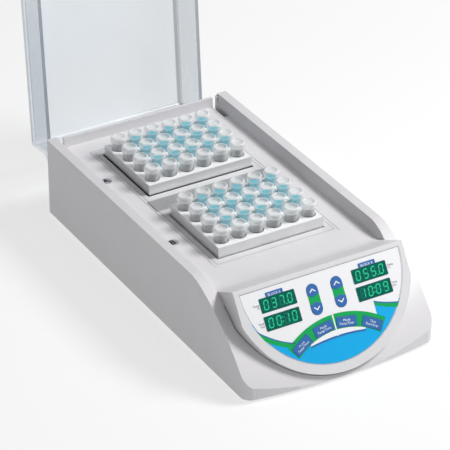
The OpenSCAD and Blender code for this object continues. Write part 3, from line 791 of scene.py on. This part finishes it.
def print_tabs():
    """Tabs over the displays and the legends beside them."""
    for (side, s), letter in zip(SIDES.items(), "AB"):
        tab_u = s * 41.3 - 1.0
        ink("print_tab_" + side, [rounded(tab_u, 9.9, 15.3, 4.4, 0.7)], BAND, "violet")
        words("print_tab_words_" + side, "BLOCK " + letter, 2.7, "white_ink", "chassis", on_face,
              tab_u, 10.0, LINE)
        edge = s * DISPLAY_X + s * 16.2
        for name, text, row in (("temp", "Temp\n°C", "upper"), ("time", "Time\nh:m", "lower")):
            words("print_%s_%s" % (name, side), text, 2.3, "dark_ink", "chassis", on_face,
                  edge, DISPLAY_ROWS[row], BAND, align="RIGHT" if s < 0 else "LEFT")


print_field()
print_wing_edges()
print_ring()
print_lens()
print_border()
print_bridges()
print_tabs()

# ---------------------------------------------------------------- displays

SEGMENTS = {"0": "abcdef", "1": "bc", "3": "abgcd", "5": "afgcd", "7": "abc", "9": "abcdfg"}
DIGIT_W, DIGIT_H, DIGIT_PITCH, STROKE, LEAN = 3.5, 6.9, 6.9, 0.95, 0.10


def digit_bars(cx, cy):
    """Seven hexagonal bars of a leaning digit, keyed a to g, with v measured downwards."""
    def bar(x0, y0, x1, y1):
        length = math.hypot(x1 - x0, y1 - y0)
        ux, uy = (x1 - x0) / length, (y1 - y0) / length
        px, py = -uy * STROKE / 2, ux * STROKE / 2
        tip, shoulder = STROKE * 0.55 * 0.35, STROKE * 0.55
        pts = [(x0 + ux * tip, y0 + uy * tip), (x0 + ux * shoulder + px, y0 + uy * shoulder + py),
               (x1 - ux * shoulder + px, y1 - uy * shoulder + py), (x1 - ux * tip, y1 - uy * tip),
               (x1 - ux * shoulder - px, y1 - uy * shoulder - py),
               (x0 + ux * shoulder - px, y0 + uy * shoulder - py)]
        return [(cx + x - LEAN * y, cy + y) for x, y in pts]

    a, b = DIGIT_W / 2, DIGIT_H / 2
    return {"a": bar(-a, -b, a, -b), "b": bar(a, -b, a, 0), "c": bar(a, 0, a, b), "d": bar(-a, b, a, b),
            "e": bar(-a, 0, -a, b), "f": bar(-a, -b, -a, 0), "g": bar(-a, 0, a, 0)}


def display(side, row, digits):
    """Window, frame, lit digits and faint unlit bars; the upper row has a point, the lower a colon."""
    name = "display_%s_%s" % (side, row)
    u, v = SIDES[side] * DISPLAY_X, DISPLAY_ROWS[row]
    ink(name + "_frame", [rounded(u, v, 31.2, 11.4, 0.9)], BAND + HALF_STEP, "dark_ink")
    ink(name + "_window", [rounded(u, v, 30.6, 10.8, 0.7)], LINE, "window")
    lit, dark = [], []
    for i, digit in enumerate(digits):
        for letter, outline in digit_bars(u + (i - 1.5) * DIGIT_PITCH, v).items():
            (lit if letter in SEGMENTS[digit] else dark).append(outline)
    if row == "upper":
        lit.append(rounded(u + 0.5 * DIGIT_PITCH + 3.3, v + 3.5, 0.95, 0.95, 0.3))
    else:
        for dv in (-1.6, 1.6):
            lit.append(rounded(u - LEAN * dv, v + dv, 1.0, 1.0, 0.3))
    ink(name + "_digits", lit, TOP + HALF_STEP / 2, "segment_on")
    ink(name + "_ghosts", dark, TOP, "segment_off")


display("left", "upper", "0370")
display("left", "lower", "0010")
display("right", "upper", "0550")
display("right", "lower", "1009")

# ---------------------------------------------------------------- key legends

KEY_TOP = 0.25
CHEVRON_W, CHEVRON_H, CHEVRON_T = 5.6, 2.6, 1.0


def chevron(cx, cy, way):
    """Two strokes that point up for way -1 and down for +1."""
    point, base = cy + way * CHEVRON_H / 2, cy - way * CHEVRON_H / 2
    inner = point - way * CHEVRON_T * 1.25
    notch = CHEVRON_T * 0.55
    left, right = cx - CHEVRON_W / 2, cx + CHEVRON_W / 2
    return [[(left, base), (cx, point), (cx, inner), (left + notch, base - way * notch)],
            [(cx, point), (right, base), (right - notch, base - way * notch), (cx, inner)]]


for side, s in SIDES.items():
    for way, name, v in ((-1, "up", 16.3), (1, "down", 31.1)):
        ink("legend_%s_%s" % (side, name), chevron(s * ARROW_X, v, way), KEY_TOP, "white_ink",
            "key_%s_%s" % (side, name))

LEGENDS = ("Front\nTemp/Time", "Mode\nTemp/Time", "Mode\nTemp/Time", "Time\nStart/Stop")
for key_node, angle, text in zip(SOFT_KEYS, SOFT_ANGLES, LEGENDS):
    u, v = soft_centre(angle)
    words(key_node.replace("key", "legend"), text, 2.7, "white_ink", key_node, on_face,
          u, v + 0.1, KEY_TOP, turn=math.radians(angle), slant=0.18)

# ---------------------------------------------------------------- deck labels and painted shadows of the trim seams

LABEL_X, LABEL_TOP, LETTER = -67.0, 61.64, 8.2

for (side, y), letter in zip(BLOCK_MIDS.items(), "AB"):
    words("label_" + side, letter, LETTER, "black_ink", "chassis", on_deck, LABEL_X, -(y + DATUM_Y),
          LABEL_TOP, fat=0.035)


def trim_line(name, width, length, corner, line, z):
    """A thin closed line of painted shadow along the inside of a round-cornered rectangle round both wells.
    """
    mid = -(TRIM_MID + DATUM_Y)
    outer = rounded(0, mid, width, length, corner)
    inner = rounded(0, mid, width - 2 * line, length - 2 * line, corner - line)
    quads = [[outer[i - 1], outer[i], inner[i], inner[i - 1]] for i in range(len(outer))]
    ink(name, quads, z, "seam", place=on_deck)


trim_line("trim_seam_shadow", 114.0, 210.0, 1.5, 1.2, 61.3)
trim_line("trim_groove_shadow", 106.8, 202.8, 1.0, 0.35, 61.53)

# ---------------------------------------------------------------- tubes


def lathe(bm, centre, profile, steps=28):
    """A shell of revolution about +Z through centre, from [(r, z), ...] in millimetres."""
    turns = [2 * math.pi * i / steps for i in range(steps)]
    rings = []
    for r, z in profile:
        if r == 0:
            rings.append([bm.verts.new(centre + Vector((0, 0, z)) * MM)])
        else:
            rings.append([bm.verts.new(centre + Vector((r * math.cos(a), r * math.sin(a), z)) * MM)
                          for a in turns])
    for a, b in zip(rings, rings[1:]):
        for i in range(steps):
            j = (i + 1) % steps
            if len(a) == 1:
                bm.faces.new((a[0], b[j], b[i]))
            elif len(b) == 1:
                bm.faces.new((a[i], a[j], b[0]))
            else:
                bm.faces.new((a[i], a[j], b[j], b[i]))


def arc(start, stop, cx, cz, r, steps):
    """Points on a circle from start to stop degrees."""
    turns = [math.radians(start + (stop - start) * i / steps) for i in range(steps + 1)]
    return [(cx + r * math.cos(a), cz + r * math.sin(a)) for a in turns]


# Heights count from the tube's seat on the block's top
SEAT_Z = 70.5
TUBE_WALL = [(0, -27.3), (1.2, -27.2), (1.9, -26.7), (3.4, -20.3), (5.25, -13.2), (5.3, -12.4), (5.3, 5.6),
             (6.1, 5.9), (6.2, 6.2), (6.2, 7.0), (5.0, 7.1), (4.5, 6.4), (4.45, -13.0), (1.3, -26.3),
             (0, -26.4)]
CAP = ([(4.6, 7.25), (6.45, 7.25)] + arc(-45, 0, 6.15, 7.65, 0.45, 2) + [(6.6, 10.0)]
       + arc(0, 80, 4.9, 10.2, 1.7, 5) + [(4.7, 11.85), (4.1, 11.2), (3.6, 10.75), (1.2, 10.6), (0, 10.6)])
STRAP_X, STRAP_Y, STRAP_Z = (-1.7, 1.7), (6.2, 7.1), (7.0, 10.8)
BOX_FACES = ((0, 1, 3, 2), (4, 6, 7, 5), (0, 4, 5, 1), (2, 3, 7, 6), (0, 2, 6, 4), (1, 5, 7, 3))


def cap_strap(bm, centre):
    """The hinge strap at the back of a cap."""
    verts = [bm.verts.new(centre + Vector((x, y, z)) * MM) for x in STRAP_X for y in STRAP_Y for z in STRAP_Z]
    for corners in BOX_FACES:
        bm.faces.new([verts[k] for k in corners])


def tube_group(node, mid_y):
    """All the tubes of a block, as one object of walls and one of caps."""
    walls, caps = bmesh.new(), bmesh.new()
    for column in range(WELL_COLUMNS):
        for row in range(WELL_ROWS):
            x = (column - (WELL_COLUMNS - 1) / 2) * WELL_PITCH_X
            y = mid_y + DATUM_Y + (row - (WELL_ROWS - 1) / 2) * WELL_PITCH_Y
            centre = Vector((x, y, SEAT_Z)) * MM
            lathe(walls, centre, TUBE_WALL)
            lathe(caps, centre, CAP)
            cap_strap(caps, centre)
    for bm, suffix, key in ((walls, "_walls", "tube"), (caps, "_caps", "cap")):
        bmesh.ops.recalc_face_normals(bm, faces=bm.faces)
        mesh = bpy.data.meshes.new(node + suffix)
        bm.to_mesh(mesh)
        bm.free()
        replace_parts(add(node + suffix, mesh, key, node, math.radians(50.0)), node)


for side, mid_y in BLOCK_MIDS.items():
    tube_group("tubes_" + side, mid_y)

# ---------------------------------------------------------------- floor, light, view


LAMP_AIM = Vector((0, 0, 0.05))


def floor():
    mesh = bpy.data.meshes.new("floor")
    bm = bmesh.new()
    half, steps = 6.0, 8
    ticks = [-half + 2 * half * i / steps for i in range(steps + 1)]
    grid = [[bm.verts.new((x, y, 0)) for x in ticks] for y in ticks]
    for j in range(steps):
        for i in range(steps):
            bm.faces.new((grid[j][i], grid[j][i + 1], grid[j + 1][i + 1], grid[j + 1][i]))
    bm.to_mesh(mesh)
    bm.free()
    o = bpy.data.objects.new("floor", mesh)
    scene.collection.objects.link(o)
    s = Surface("floor_paper", (0.30, 0.30, 0.30), 0.9)
    s.vary_color(s.noise(3.0, 2.0), (0.29, 0.29, 0.295), 0.4, 0.7, 0.8)
    s.glow((1.0, 1.0, 1.0), 0.67)
    o.data.materials.append(s.mat)


def lamp(name, where, size, power):
    """A square lamp that looks at the object."""
    data = bpy.data.lights.new(name, "AREA")
    data.shape = "SQUARE"
    data.size = size
    data.energy = power
    o = bpy.data.objects.new(name, data)
    scene.collection.objects.link(o)
    o.location = where
    o.rotation_euler = (LAMP_AIM - o.location).to_track_quat("-Z", "Y").to_euler()


floor()
lamp("key", (0.95, -0.5, 1.25), 0.5, 23.5)
lamp("top", (0.1, -0.5, 2.2), 1.6, 9.0)
world = bpy.data.worlds.new("studio")
scene.world = world
world.use_nodes = True
sky = world.node_tree.nodes["Background"].inputs
sky["Color"].default_value = (1.0, 1.0, 1.0, 1.0)
sky["Strength"].default_value = 0.13
scene.view_settings.view_transform = "Standard"
